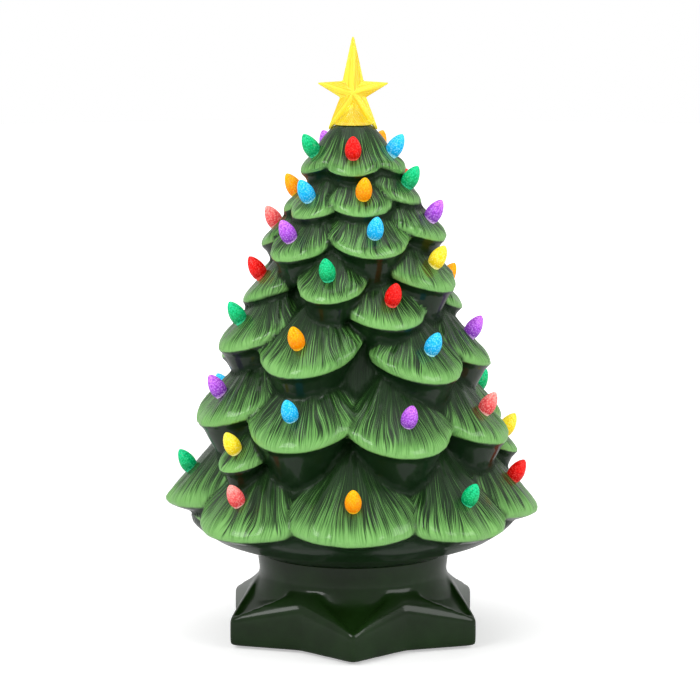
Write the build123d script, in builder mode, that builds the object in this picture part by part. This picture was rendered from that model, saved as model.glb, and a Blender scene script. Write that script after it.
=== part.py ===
from build123d import *
import os
from collections import namedtuple
from math import cos, radians, sin

os.makedirs("parts", exist_ok=True)

# Levels of the stack, from the table up
FOOT_HEIGHT = 2.5
FLOOR_THICKNESS = 8
STAR_TIP_HEIGHT = 28
STAR_VALLEY_HEIGHT = 58
SEAT_HEIGHT = 88
TREE_HEIGHT = 427
TREE_TOP_HEIGHT = SEAT_HEIGHT + TREE_HEIGHT

# Fits
FIT = 0.2
PIN_FIT = 0.05
RUNNING_FIT = 0.3

# Star base, a hollow glazed casting with one point to the front
FRONT = -90
STAR_POINTS = 6
STAR_TIP_RADIUS = 135
STAR_VALLEY_RADIUS = 101
STAR_TIP_ROUND = 10
STAR_VALLEY_ROUND = 60
NECK_RADIUS = 96
BASE_WALL = 6
LIP_WALL = 4
LIP_HEIGHT = 6
LIP_CLEARANCE = 1
SEAM_CHAMFER = 1.5

# Tree casting
TREE_WALL = 5
MOUTH_RADIUS = 81
CAP_RADIUS = 15
CREST_RUN = 0.85
APEX_WIDTH = 0.14
FLARE_HEIGHT = 0.35
FLARE_WIDTH = 0.66
CAP_WALL = 10

# Core that the boughs grow from, as (radius, height above the seat) from the neck over the skirt to the cap
CORE_OUTLINE = [
    (96, 0), (118, 7), (140, 15), (156, 24), (167, 34), (147, 66), (120, 118), (96, 190), (71, 257), (58, 317),
    (CAP_RADIUS, TREE_HEIGHT)]

# Rings of that outline, after the neck's, that lie under the skirt and get their wall above them
BOWL_RINGS = 3

# How far the hollow's rings draw in from the outside, as shares of the wall: (radius, height)
RING_INSETS = [(0.4, 1.2), (0.6, 1), (1.7, 0.2), (1.2, -0.8)]
HOLLOW_MIN_RADIUS = 1.5

# Bulbs, pushed into spot-faced holes on the crests
BULB_RADIUS = 8.4
BULB_LENGTH = 25
BULB_COLLAR_RADIUS = 4.4
BULB_COLLAR_HEIGHT = 3.4
BULB_BELLY_HEIGHT = 9.5
BULB_ROUNDING = 0.55
BULB_STEM_RADIUS = 3
BULB_STEM_LENGTH = 9
BULB_LEAN = 32
BULB_SEAT_SINK = 1.4
BULB_SEAT_REACH = 12

# Star topper
TOPPER_CENTRE_HEIGHT = TREE_TOP_HEIGHT + 30
TOPPER_EDGE = 3
TOPPER_RIDGE = 6.5
TOPPER_RIDGE_SHARE = 0.04
TOPPER_OUTLINE = [(0, 56), (10.4, 11.7), (35.2, 9.7), (13, -4.4), (24.4, -36), (0, -13)]
FLANGE_RADIUS = 12
FLANGE_THICKNESS = 2.5
BOSS_HEIGHT = 20
BOSS_RADIUS = 6.5
BOSS_TOP_RADIUS = 5
PEG_RADIUS = 5
PEG_LENGTH = 20

# Bottom plate with its battery box
PLATE_RADIUS = 80
PLATE_THICKNESS = 4
PLATE_LEDGE = 6
BATTERY_RADIUS = 7.25
BATTERY_LENGTH = 49.5
BATTERY_NUB_RADIUS = 2.75
BATTERY_NUB_LENGTH = 1
BATTERY_COUNT = 3
BATTERY_PITCH = 15.5
CONTACT_THICKNESS = 0.8
CONTACT_BUMP = 1
CONTACT_BUMP_RADIUS = 2.5
CONTACT_WIDTH = 12
BOX_WALL = 2
DOOR_THICKNESS = 2
DOOR_LEDGE = 3
HINGE_BARREL_RADIUS = 1.5
HINGE_PIN_RADIUS = 0.8
HINGE_PIN_GRIP = 5
HINGE_SLOT_CLEARANCE = 1

# Slide switch beside the battery box
SWITCH_Y = -52
SWITCH_LENGTH = 20
SWITCH_WIDTH = 10
SWITCH_HEIGHT = 8
SWITCH_TRAVEL = 5
SWITCH_KNOB = 4
SWITCH_KNOB_RECESS = 1
SWITCH_POCKET_DEPTH = 2

# Lamp on its post
POST_RADIUS = 9
POST_WALL = 2
POST_TOP_HEIGHT = SEAT_HEIGHT + 30
POST_COLLAR_RADIUS = 15
POST_COLLAR_THICKNESS = 4
POST_SPIGOT_HEIGHT = 3
SOCKET_WALL = 3
SOCKET_DEPTH = 10
BOARD_WIDTH = 13
BOARD_THICKNESS = 1.6
BOARD_HEIGHT = 125
BOARD_TENON = 6
LED_SIZE = 5
LED_THICKNESS = 1.6
LED_ROWS = 6
DIFFUSER_RADIUS = 14
DIFFUSER_WALL = 1.5
DIFFUSER_HEADROOM = 8
WIRE_RADIUS = 0.7
WIRE_SPACING = 6

# Rubber feet under the star points
FOOT_RADIUS = 7
FOOT_CIRCLE_RADIUS = 108

Tier = namedtuple("Tier", "reach rim_height half_width rise bulb_share toe boughs")
Toe = namedtuple("Toe", "width depth shift tilt")
Bough = namedtuple("Bough", "azimuth reach rim_height half_width rise bulb_share toe colour")

# Underside of a bough as shares of its half width, and the tilt of its rim in degrees: most tuck deep under
# and dip at the front, the lowest skirt stays shallow and nearly level
TUCKED = Toe(0.55, 0.80, 0.30, 20)
SKIRT = Toe(0.74, 0.18, -0.02, 8)

# Tiers with their rim heights above the seat, and the boughs of each as (azimuth from the front, rim lift,
# bulb colour), anticlockwise seen from above
TIERS = [
    Tier(54, 380, 29, 45, 0.40, TUCKED, [
        (0, 0, "red"), (72, 0, "blue"), (144, 0, "amber"), (216, 0, "purple"), (288, 0, "green")]),
    Tier(71, 342, 34, 54, 0.32, TUCKED, [
        (10, 0, "amber"), (68, 8, "green"), (128, 0, "red"), (190, 0, "blue"), (255, -3, "amber"),
        (311, -4, "blue")]),
    Tier(95, 304, 40, 58, 0.33, TUCKED, [
        (15, 0, "blue"), (73, 11, "purple"), (135, 2, "yellow"), (195, -3, "green"), (252, 0, "pink"),
        (310, -6, "purple")]),
    Tier(111, 255, 44, 64, 0.37, TUCKED, [
        (24, -19, "red"), (60, 13, "yellow"), (100, -12, "amber"), (145, 2, "blue"), (188, -10, "purple"),
        (232, 8, "green"), (277, -2, "red")]),
    Tier(111, 262, 34, 56, 0.40, TUCKED, [(345, 0, "green")]),
    Tier(139, 193, 50, 72, 0.38, TUCKED, [
        (333, 0, "amber"), (40, -8, "blue"), (82, -2, "purple"), (128, 6, "red"), (172, -6, "yellow"),
        (215, 6, "blue"), (250, -4, "pink"), (289, 15, "green")]),
    Tier(163, 122, 55, 82, 0.34, TUCKED, [
        (335, 3, "blue"), (22, -2, "purple"), (67, -2, "pink"), (116, 2, "green"), (157, 0, "amber"),
        (202, 4, "red"), (246, -2, "blue"), (292, 15, "purple")]),
    Tier(166, 98, 28, 60, 0.30, TUCKED, [
        (311, 0, "yellow"), (92, 0, "yellow"), (180, 0, "green")]),
    Tier(187, 39, 72, 92, 0.33, SKIRT, [
        (0, 3, "amber"), (43, 0, "green"), (78, 7, "red"), (120, 4, "blue"), (160, 0, "pink"),
        (200, 6, "purple"), (236, 8, "yellow"), (272, 12, "green"), (317, -1, "pink")]),
]
COLOURS = ["red", "green", "blue", "yellow", "amber", "purple", "pink"]

boughs = [
    Bough(
        azimuth, tier.reach, tier.rim_height + lift, tier.half_width, tier.rise, tier.bulb_share, tier.toe,
        colour,
    )
    for tier in TIERS
    for azimuth, lift, colour in tier.boughs
]


class BoughFrame:
    """Slanted frame of one bough: heights stand on its rim plane, shifts run outwards along it."""

    def __init__(self, bough):
        tilt = radians(bough.toe.tilt)
        turn = radians(bough.azimuth)
        self.outward = (sin(turn), -cos(turn))
        self.along = (cos(tilt), -sin(tilt))
        self.normal = (sin(tilt), cos(tilt))
        self.centre = (
            bough.reach - bough.half_width * cos(tilt),
            SEAT_HEIGHT + bough.rim_height + bough.half_width * sin(tilt),
        )
        to_apex = (
            bough.reach - CREST_RUN * bough.rise - self.centre[0],
            SEAT_HEIGHT + bough.rim_height + bough.rise - self.centre[1],
        )
        self.apex_height = to_apex[0] * self.normal[0] + to_apex[1] * self.normal[1]
        self.apex_shift = to_apex[0] * self.along[0] + to_apex[1] * self.along[1]

    def spatial(self, radial, height):
        """A radial and height pair as a point or direction in space."""
        return (radial * self.outward[0], radial * self.outward[1], height)

    def point(self, height, shift):
        return self.spatial(
            self.centre[0] + height * self.normal[0] + shift * self.along[0],
            self.centre[1] + height * self.normal[1] + shift * self.along[1],
        )

    def plane(self, height, shift):
        return Plane(
            origin=self.point(height, shift),
            x_dir=self.spatial(*self.along),
            z_dir=self.spatial(*self.normal),
        )


def make_bough(bough, inset):
    """One bough as a slanted bell, drawn in by inset where it is the hollow inside."""
    frame = BoughFrame(bough)
    width = bough.half_width
    rings = [
        (APEX_WIDTH * width, frame.apex_height, frame.apex_shift),
        (FLARE_WIDTH * width, FLARE_HEIGHT * frame.apex_height, FLARE_HEIGHT * frame.apex_shift),
        (width, 0, 0),
        (bough.toe.width * width, -bough.toe.depth * width, bough.toe.shift * width),
    ]
    with BuildPart() as bell:
        for (radius, height, shift), (narrowing, lowering) in zip(rings, RING_INSETS):
            with BuildSketch(frame.plane(height - lowering * inset, shift)):
                Circle(max(radius - narrowing * inset, HOLLOW_MIN_RADIUS))
        loft(ruled=True)
    return bell.part


def bulb_seat(bough):
    """Plane of the flat on which a bulb's collar stands, up the crest from the rim."""
    frame = BoughFrame(bough)
    share = bough.bulb_share
    flare = 1 - (1 - FLARE_WIDTH) * share / FLARE_HEIGHT
    taper = FLARE_WIDTH - (FLARE_WIDTH - APEX_WIDTH) * (share - FLARE_HEIGHT) / (1 - FLARE_HEIGHT)
    width = bough.half_width * max(flare, taper)
    crest = frame.point(share * frame.apex_height, share * frame.apex_shift + width)
    lean = radians(BULB_LEAN)
    axis = Vector(*frame.spatial(sin(lean), cos(lean)))
    across = frame.spatial(cos(lean), -sin(lean))
    return Plane(origin=Vector(*crest) - axis * BULB_SEAT_SINK, x_dir=across, z_dir=axis)


bulb_seats = {colour: [bulb_seat(b) for b in boughs if b.colour == colour] for colour in COLOURS}

outer_bells = [make_bough(bough, 0) for bough in boughs]
inner_bells = [make_bough(bough, TREE_WALL) for bough in boughs]

# The hollow of the tree: bough pockets that open into one core
with BuildPart() as tree_hollow:
    with BuildSketch(Plane.XZ):
        with BuildLine():
            inside = [(radius - TREE_WALL, SEAT_HEIGHT + height) for radius, height in CORE_OUTLINE[1:-1]]
            Polyline(
                (0, SEAT_HEIGHT),
                (MOUTH_RADIUS, SEAT_HEIGHT),
                (MOUTH_RADIUS, SEAT_HEIGHT + TREE_WALL),
                *[(radius, height + TREE_WALL) for radius, height in inside[:BOWL_RINGS]],
                *inside[BOWL_RINGS:],
                (CAP_RADIUS - TREE_WALL, TREE_TOP_HEIGHT - CAP_WALL),
                (0, TREE_TOP_HEIGHT - CAP_WALL),
                close=True,
            )
        make_face()
    revolve(axis=Axis.Z)
    add(inner_bells, clean=False)

with BuildPart() as tree_shell:
    with BuildSketch(Plane.XZ):
        with BuildLine():
            outside = [(radius, SEAT_HEIGHT + height) for radius, height in CORE_OUTLINE]
            Polyline((0, SEAT_HEIGHT), *outside, (0, TREE_TOP_HEIGHT), close=True)
        make_face()
    revolve(axis=Axis.Z)
    add(outer_bells, clean=False)
    add(tree_hollow.part, mode=Mode.SUBTRACT, clean=False)
    every_seat = [seat for seats in bulb_seats.values() for seat in seats]
    with Locations(*[Location(seat.offset(BULB_SEAT_REACH)) for seat in every_seat]):
        CounterBoreHole(
            radius=BULB_STEM_RADIUS + FIT,
            counter_bore_radius=BULB_COLLAR_RADIUS + RUNNING_FIT,
            counter_bore_depth=BULB_SEAT_REACH,
            depth=BULB_SEAT_REACH + BULB_STEM_LENGTH + TREE_WALL,
        )
    with Locations((0, 0, TREE_TOP_HEIGHT)):
        Hole(radius=PEG_RADIUS + RUNNING_FIT, depth=PEG_LENGTH)

# One bulb, standing on its collar at the origin
with BuildPart() as bulb:
    with BuildSketch(Plane.XZ):
        with BuildLine():
            Polyline(
                (0, BULB_LENGTH),
                (0, -BULB_STEM_LENGTH),
                (BULB_STEM_RADIUS, -BULB_STEM_LENGTH),
                (BULB_STEM_RADIUS, 0),
                (BULB_COLLAR_RADIUS, 0),
                (BULB_COLLAR_RADIUS, BULB_COLLAR_HEIGHT),
            )
            shoulder = (BULB_RADIUS, BULB_BELLY_HEIGHT)
            Bezier(
                (BULB_COLLAR_RADIUS, BULB_COLLAR_HEIGHT),
                (BULB_COLLAR_RADIUS + BULB_ROUNDING * (BULB_RADIUS - BULB_COLLAR_RADIUS), BULB_COLLAR_HEIGHT),
                (BULB_RADIUS, BULB_BELLY_HEIGHT - BULB_ROUNDING * (BULB_BELLY_HEIGHT - BULB_COLLAR_HEIGHT)),
                shoulder,
            )
            Bezier(
                shoulder,
                (BULB_RADIUS, BULB_BELLY_HEIGHT + BULB_ROUNDING * (BULB_LENGTH - BULB_BELLY_HEIGHT)),
                (BULB_ROUNDING * BULB_RADIUS, BULB_LENGTH),
                (0, BULB_LENGTH),
            )
        make_face()
    revolve(axis=Axis.Z)

# Star topper: a slab with a ridged pyramid on each side, and a boss with a peg for the tree's top hole
mirrored_outline = [(-x, z) for x, z in TOPPER_OUTLINE[-2:0:-1]]
topper_points = [(x, z + TOPPER_CENTRE_HEIGHT) for x, z in TOPPER_OUTLINE + mirrored_outline]
ridge_points = [
    (x * TOPPER_RIDGE_SHARE, z * TOPPER_RIDGE_SHARE + TOPPER_CENTRE_HEIGHT)
    for x, z in TOPPER_OUTLINE + mirrored_outline
]

with BuildPart() as star_topper:
    with BuildSketch(Plane.XZ):
        with BuildLine():
            Polyline(*topper_points, close=True)
        make_face()
    extrude(amount=TOPPER_EDGE / 2, both=True)
    for side in (1, -1):
        with BuildSketch(Plane.XZ.offset(side * TOPPER_EDGE / 2)):
            with BuildLine():
                Polyline(*topper_points, close=True)
            make_face()
        with BuildSketch(Plane.XZ.offset(side * (TOPPER_EDGE / 2 + TOPPER_RIDGE))):
            with BuildLine():
                Polyline(*ridge_points, close=True)
            make_face()
        loft(ruled=True)
    with BuildSketch(Plane.XZ):
        with BuildLine():
            Polyline(
                (0, TREE_TOP_HEIGHT - PEG_LENGTH),
                (PEG_RADIUS, TREE_TOP_HEIGHT - PEG_LENGTH),
                (PEG_RADIUS, TREE_TOP_HEIGHT),
                (FLANGE_RADIUS, TREE_TOP_HEIGHT),
                (FLANGE_RADIUS, TREE_TOP_HEIGHT + FLANGE_THICKNESS),
                (BOSS_RADIUS, TREE_TOP_HEIGHT + FLANGE_THICKNESS),
                (BOSS_TOP_RADIUS, TREE_TOP_HEIGHT + BOSS_HEIGHT),
                (0, TREE_TOP_HEIGHT + BOSS_HEIGHT),
                close=True,
            )
        make_face()
    revolve(axis=Axis.Z)

# Star base: vertical star walls, one sloping facet on each point, a round neck and a lip inside the mouth
valley_line = STAR_VALLEY_RADIUS * cos(radians(180 / STAR_POINTS))
facet_drop = STAR_VALLEY_HEIGHT - STAR_TIP_HEIGHT
facet_far = 2 * STAR_TIP_RADIUS - valley_line
point_step = 360 / STAR_POINTS


def star_corner(radius, degrees):
    return (radius * cos(radians(degrees)), radius * sin(radians(degrees)))


star_outline = []
for index in range(STAR_POINTS):
    tip_angle = FRONT + index * point_step
    star_outline.append(star_corner(STAR_TIP_RADIUS, tip_angle))
    star_outline.append(star_corner(STAR_VALLEY_RADIUS, tip_angle + point_step / 2))

with BuildSketch() as star_plan:
    with BuildLine():
        Polyline(*star_outline, close=True)
    make_face()
    by_distance = star_plan.vertices().sort_by_distance((0, 0, 0))
    fillet(by_distance[:STAR_POINTS], STAR_VALLEY_ROUND)
    by_distance = star_plan.vertices().sort_by_distance((0, 0, 0))
    fillet(by_distance[-STAR_POINTS:], STAR_TIP_ROUND)

with BuildPart() as facet_cutter:
    with BuildSketch(Plane.XZ):
        with BuildLine():
            Polyline(
                (valley_line, STAR_VALLEY_HEIGHT),
                (facet_far, STAR_VALLEY_HEIGHT),
                (facet_far, STAR_VALLEY_HEIGHT - 2 * facet_drop),
                close=True,
            )
        make_face()
    extrude(amount=STAR_VALLEY_RADIUS, both=True)

plate_top = FOOT_HEIGHT + PLATE_THICKNESS
floor_top = FOOT_HEIGHT + FLOOR_THICKNESS

with BuildPart() as base:
    with BuildSketch(Plane.XY.offset(FOOT_HEIGHT)):
        add(star_plan.sketch)
    extrude(amount=STAR_VALLEY_HEIGHT - FOOT_HEIGHT)
    with PolarLocations(0, STAR_POINTS, start_angle=FRONT):
        add(facet_cutter.part, mode=Mode.SUBTRACT)
    with BuildSketch(Plane.XY.offset(FOOT_HEIGHT)):
        Circle(NECK_RADIUS)
    extrude(amount=SEAT_HEIGHT - FOOT_HEIGHT)
    with BuildSketch(Plane.XY.offset(floor_top)):
        add(star_plan.sketch)
        offset(amount=-BASE_WALL, mode=Mode.REPLACE)
    extrude(amount=STAR_TIP_HEIGHT - BASE_WALL - floor_top, mode=Mode.SUBTRACT)
    with BuildSketch(Plane.XY.offset(floor_top)):
        Circle(NECK_RADIUS - BASE_WALL)
    extrude(amount=SEAT_HEIGHT - BASE_WALL - floor_top, mode=Mode.SUBTRACT)
    with BuildSketch(Plane.XY.offset(SEAT_HEIGHT)):
        Circle(MOUTH_RADIUS - LIP_CLEARANCE)
    extrude(amount=LIP_HEIGHT)
    with BuildSketch(Plane.XY.offset(SEAT_HEIGHT - BASE_WALL)):
        Circle(MOUTH_RADIUS - LIP_CLEARANCE - LIP_WALL)
    extrude(amount=BASE_WALL + LIP_HEIGHT, mode=Mode.SUBTRACT)
    with BuildSketch(Plane.XY.offset(FOOT_HEIGHT)):
        Circle(PLATE_RADIUS - PLATE_LEDGE)
    extrude(amount=FLOOR_THICKNESS, mode=Mode.SUBTRACT)
    with BuildSketch(Plane.XY.offset(FOOT_HEIGHT)):
        Circle(PLATE_RADIUS + FIT)
    extrude(amount=PLATE_THICKNESS, mode=Mode.SUBTRACT)
    neck_edges = base.edges().filter_by(GeomType.CIRCLE).filter_by_position(Axis.Z, SEAT_HEIGHT, SEAT_HEIGHT)
    chamfer(neck_edges.sort_by(SortBy.RADIUS)[-1], SEAM_CHAMFER)

with BuildPart() as feet:
    with BuildSketch():
        with PolarLocations(FOOT_CIRCLE_RADIUS, STAR_POINTS, start_angle=FRONT):
            Circle(FOOT_RADIUS)
    extrude(amount=FOOT_HEIGHT)

# Sizes of the battery box, worked out from the cells that it holds
door_top = FOOT_HEIGHT + DOOR_THICKNESS
cell_length = BATTERY_LENGTH + BATTERY_NUB_LENGTH
cell_height = door_top + RUNNING_FIT + BATTERY_RADIUS
box_length = cell_length + 2 * (FIT + CONTACT_BUMP + CONTACT_THICKNESS)
box_width = (BATTERY_COUNT - 1) * BATTERY_PITCH + 2 * (BATTERY_RADIUS + RUNNING_FIT)
box_ceiling = cell_height + BATTERY_RADIUS + RUNNING_FIT
box_roof = box_ceiling + BOX_WALL
door_length = box_length + 2 * DOOR_LEDGE
door_width = box_width + 2 * DOOR_LEDGE
hinge_y = door_width / 2
hinge_height = FOOT_HEIGHT + HINGE_BARREL_RADIUS
hinge_slot = 2 * (HINGE_BARREL_RADIUS + HINGE_SLOT_CLEARANCE)
pin_length = door_length + 2 * (RUNNING_FIT + HINGE_PIN_GRIP)
knob_slot = SWITCH_KNOB + 2 * RUNNING_FIT
switch_slot = SWITCH_TRAVEL + knob_slot
wire_places = [(-WIRE_SPACING / 2, 0), (WIRE_SPACING / 2, 0)]
hinge_line = Plane.YZ.offset(-pin_length / 2)

with BuildPart() as bottom_plate:
    with BuildSketch(Plane.XY.offset(FOOT_HEIGHT)):
        Circle(PLATE_RADIUS)
    extrude(amount=PLATE_THICKNESS)
    with BuildSketch(Plane.XY.offset(plate_top)):
        Rectangle(box_length + 2 * BOX_WALL, box_width + 2 * BOX_WALL)
    extrude(amount=box_roof - plate_top)
    with BuildSketch(Plane.XY.offset(box_roof)):
        Circle(POST_RADIUS + FIT + SOCKET_WALL)
        Circle(POST_RADIUS + FIT, mode=Mode.SUBTRACT)
    extrude(amount=SOCKET_DEPTH)
    with BuildSketch(Plane.XY.offset(FOOT_HEIGHT)):
        Rectangle(box_length, box_width)
    extrude(amount=box_ceiling - FOOT_HEIGHT, mode=Mode.SUBTRACT)
    with BuildSketch(Plane.XY.offset(FOOT_HEIGHT)):
        Rectangle(door_length + 2 * RUNNING_FIT, door_width + 2 * RUNNING_FIT)
    extrude(amount=DOOR_THICKNESS + FIT, mode=Mode.SUBTRACT)
    with BuildSketch(Plane.XY.offset(FOOT_HEIGHT)):
        with Locations((0, hinge_y)):
            Rectangle(door_length + 2 * RUNNING_FIT, hinge_slot)
        with Locations((0, SWITCH_Y)):
            Rectangle(switch_slot, knob_slot)
    extrude(amount=PLATE_THICKNESS, mode=Mode.SUBTRACT)
    with BuildSketch(hinge_line):
        with Locations((hinge_y, hinge_height)):
            Circle(HINGE_PIN_RADIUS + PIN_FIT)
    extrude(amount=pin_length, mode=Mode.SUBTRACT)
    with BuildSketch(Plane.XY.offset(box_ceiling)):
        with Locations(*wire_places):
            Circle(WIRE_RADIUS + FIT)
    extrude(amount=BOX_WALL, mode=Mode.SUBTRACT)

with BuildPart() as battery_door:
    with BuildSketch(Plane.XY.offset(FOOT_HEIGHT)):
        Rectangle(door_length, door_width)
    extrude(amount=DOOR_THICKNESS)
    with BuildSketch(Plane.YZ.offset(-door_length / 2)):
        with Locations((hinge_y, hinge_height)):
            Circle(HINGE_BARREL_RADIUS)
    extrude(amount=door_length)
    with BuildSketch(Plane.YZ.offset(-door_length / 2)):
        with Locations((hinge_y, hinge_height)):
            Circle(HINGE_PIN_RADIUS + 2 * PIN_FIT)
    extrude(amount=door_length, mode=Mode.SUBTRACT)

with BuildPart() as door_hinge_pin:
    with BuildSketch(hinge_line):
        with Locations((hinge_y, hinge_height)):
            Circle(HINGE_PIN_RADIUS)
    extrude(amount=pin_length)

# One cell along X, its nub towards +X
with BuildPart() as cell:
    with BuildSketch(Plane.YZ.offset(-cell_length / 2)):
        Circle(BATTERY_RADIUS)
    extrude(amount=BATTERY_LENGTH)
    with BuildSketch(Plane.YZ.offset(-cell_length / 2)):
        Circle(BATTERY_NUB_RADIUS)
    extrude(amount=cell_length)

cell_rows = [(index - (BATTERY_COUNT - 1) / 2) * BATTERY_PITCH for index in range(BATTERY_COUNT)]

with BuildPart() as batteries:
    for index, row in enumerate(cell_rows):
        with Locations(Location((0, row, cell_height), (0, 0, 180 * (index % 2)))):
            add(cell.part)

# Contact strips, one at each end of each cell, with a bump that meets the cell
with BuildPart() as battery_contacts:
    for end in (1, -1):
        inner_face = Plane.YZ.offset(end * (box_length / 2 - CONTACT_THICKNESS))
        with BuildSketch(inner_face):
            with Locations(*[(row, cell_height) for row in cell_rows]):
                Rectangle(CONTACT_WIDTH, CONTACT_WIDTH)
        extrude(amount=end * CONTACT_THICKNESS)
        with BuildSketch(inner_face):
            with Locations(*[(row, cell_height) for row in cell_rows]):
                Circle(CONTACT_BUMP_RADIUS)
        extrude(amount=-end * CONTACT_BUMP)

with BuildPart() as switch_body:
    with BuildSketch(Plane.XY.offset(plate_top)):
        with Locations((0, SWITCH_Y)):
            Rectangle(SWITCH_LENGTH, SWITCH_WIDTH)
    extrude(amount=SWITCH_HEIGHT)
    with BuildSketch(Plane.XY.offset(plate_top)):
        with Locations((0, SWITCH_Y)):
            Rectangle(switch_slot, knob_slot)
    extrude(amount=SWITCH_POCKET_DEPTH, mode=Mode.SUBTRACT)

with BuildPart() as switch_slider:
    with BuildSketch(Plane.XY.offset(FOOT_HEIGHT + SWITCH_KNOB_RECESS)):
        with Locations((-SWITCH_TRAVEL / 2, SWITCH_Y)):
            Rectangle(SWITCH_KNOB, SWITCH_KNOB)
    extrude(amount=PLATE_THICKNESS - SWITCH_KNOB_RECESS + SWITCH_POCKET_DEPTH - RUNNING_FIT)

# Lamp: a tube post with a collar, an upright board of lights and a frosted cover
board_bottom = POST_TOP_HEIGHT - BOARD_TENON
board_top = board_bottom + BOARD_HEIGHT
cover_bore = DIFFUSER_RADIUS - DIFFUSER_WALL
cover_ceiling = board_top + DIFFUSER_HEADROOM

with BuildPart() as lamp_post:
    with BuildSketch(Plane.XY.offset(box_roof)):
        Circle(POST_RADIUS)
        Circle(POST_RADIUS - POST_WALL, mode=Mode.SUBTRACT)
    extrude(amount=POST_TOP_HEIGHT - box_roof)
    with BuildSketch(Plane.XY.offset(POST_TOP_HEIGHT - POST_COLLAR_THICKNESS)):
        Circle(POST_COLLAR_RADIUS)
    extrude(amount=POST_COLLAR_THICKNESS)
    with BuildSketch(Plane.XY.offset(POST_TOP_HEIGHT)):
        Circle(cover_bore - FIT)
    extrude(amount=POST_SPIGOT_HEIGHT)
    with BuildSketch(Plane.XY.offset(POST_TOP_HEIGHT - POST_COLLAR_THICKNESS)):
        Rectangle(BOARD_WIDTH + 2 * FIT, BOARD_THICKNESS + 2 * FIT)
    extrude(amount=POST_COLLAR_THICKNESS + POST_SPIGOT_HEIGHT, mode=Mode.SUBTRACT)

with BuildPart() as led_board:
    with BuildSketch(Plane.XY.offset(board_bottom)):
        Rectangle(BOARD_WIDTH, BOARD_THICKNESS)
    extrude(amount=BOARD_HEIGHT)

led_step = (BOARD_HEIGHT - BOARD_TENON - POST_SPIGOT_HEIGHT) / LED_ROWS
led_heights = [board_top - (row + 0.5) * led_step for row in range(LED_ROWS)]

with BuildPart() as leds:
    for side in (1, -1):
        with BuildSketch(Plane.XZ.offset(side * BOARD_THICKNESS / 2)):
            with Locations(*[(0, height) for height in led_heights]):
                Rectangle(LED_SIZE, LED_SIZE)
        extrude(amount=side * LED_THICKNESS)

with BuildPart() as lamp_diffuser:
    with BuildSketch(Plane.XY.offset(POST_TOP_HEIGHT)):
        Circle(DIFFUSER_RADIUS)
    extrude(amount=cover_ceiling + DIFFUSER_WALL - POST_TOP_HEIGHT)
    fillet(lamp_diffuser.edges().sort_by(Axis.Z)[-1], DIFFUSER_WALL)
    with BuildSketch(Plane.XY.offset(POST_TOP_HEIGHT)):
        Circle(cover_bore)
    extrude(amount=cover_ceiling - POST_TOP_HEIGHT, mode=Mode.SUBTRACT)

with BuildPart() as lead_wires:
    with BuildSketch(Plane.XY.offset(box_ceiling)):
        with Locations(*wire_places):
            Circle(WIRE_RADIUS)
    extrude(amount=board_bottom - box_ceiling)

pieces = {
    "base": base.part,
    "feet": feet.part,
    "bottom_plate": bottom_plate.part,
    "battery_door": battery_door.part,
    "door_hinge_pin": door_hinge_pin.part,
    "batteries": batteries.part,
    "battery_contacts": battery_contacts.part,
    "switch_body": switch_body.part,
    "switch_slider": switch_slider.part,
    "lamp_post": lamp_post.part,
    "led_board": led_board.part,
    "leds": leds.part,
    "lamp_diffuser": lamp_diffuser.part,
    "lead_wires": lead_wires.part,
    "tree_shell": tree_shell.part,
    "star_topper": star_topper.part,
}

for colour in COLOURS:
    with BuildPart() as bulbs:
        with Locations(*[Location(seat) for seat in bulb_seats[colour]]):
            add(bulb.part)
    pieces[f"bulbs_{colour}"] = bulbs.part

for name, piece in pieces.items():
    piece.label = name
    export_step(piece, f"parts/{name}.step")
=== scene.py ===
from collections import namedtuple
from math import atan2, cos, hypot, pi, radians, sin

import bmesh
import bpy
from mathutils import Matrix, Vector, noise
from mathutils.bvhtree import BVHTree
from mathutils.geometry import interpolate_bezier


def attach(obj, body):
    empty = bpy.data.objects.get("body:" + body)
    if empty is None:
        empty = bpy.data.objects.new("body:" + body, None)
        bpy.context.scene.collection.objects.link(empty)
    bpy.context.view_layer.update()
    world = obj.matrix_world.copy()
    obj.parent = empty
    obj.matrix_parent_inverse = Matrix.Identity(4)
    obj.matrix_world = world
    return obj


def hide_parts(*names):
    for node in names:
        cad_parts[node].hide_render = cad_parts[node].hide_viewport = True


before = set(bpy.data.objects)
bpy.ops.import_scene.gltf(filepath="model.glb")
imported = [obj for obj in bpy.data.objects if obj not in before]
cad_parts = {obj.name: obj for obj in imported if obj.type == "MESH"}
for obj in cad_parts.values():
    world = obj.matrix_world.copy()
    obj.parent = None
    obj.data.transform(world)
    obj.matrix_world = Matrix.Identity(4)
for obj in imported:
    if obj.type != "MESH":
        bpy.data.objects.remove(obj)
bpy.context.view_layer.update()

# Star base: a hollow slip-cast piece of earthenware under a deep green gloss glaze. The mould gives it six
# points with upright walls, a sunk panel on each and a saddle between them, and a round neck that carries the
# tree. The raw form has a little extra, which the rounding of the glaze takes off again.
MM = 0.001
FOOT_TOP = 2.5
STAR_POINTS = 6
STAR_TIP = 135
STAR_VALLEY = 101
STAR_TIP_HEIGHT = 28
STAR_MIDDLE_HEIGHT = 58
TIP_EXTRA = 7
VALLEY_EXTRA = 6
TIP_HEIGHT_EXTRA = 3
SADDLE_SHARE = 0.17
SADDLE_DROP = 13
EDGE_ROUNDING = 4
PANEL_LEAST_AREA = 1000
PANEL_BORDER = 1
PANEL_DEPTH = 5
NECK = 96
SEAT = 88
SEAT_CHAMFER = 1.5
NECK_OUTLINE = [
    (0, FOOT_TOP), (NECK - 2, FOOT_TOP), (NECK + 8, 42), (NECK + 4, 51.5), (NECK, 59), (NECK - 2, 67),
    (NECK, 80), (NECK, SEAT + 12), (0, SEAT + 12)]
BASE_GRAIN = 1.6
BASE_PASSES = 44
BASE_WALL = 6
FLOOR_TOP = 10.5
HOLLOW_TIP = 119
HOLLOW_VALLEY = 91
HOLLOW_TIP_HEIGHT = 19
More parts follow.
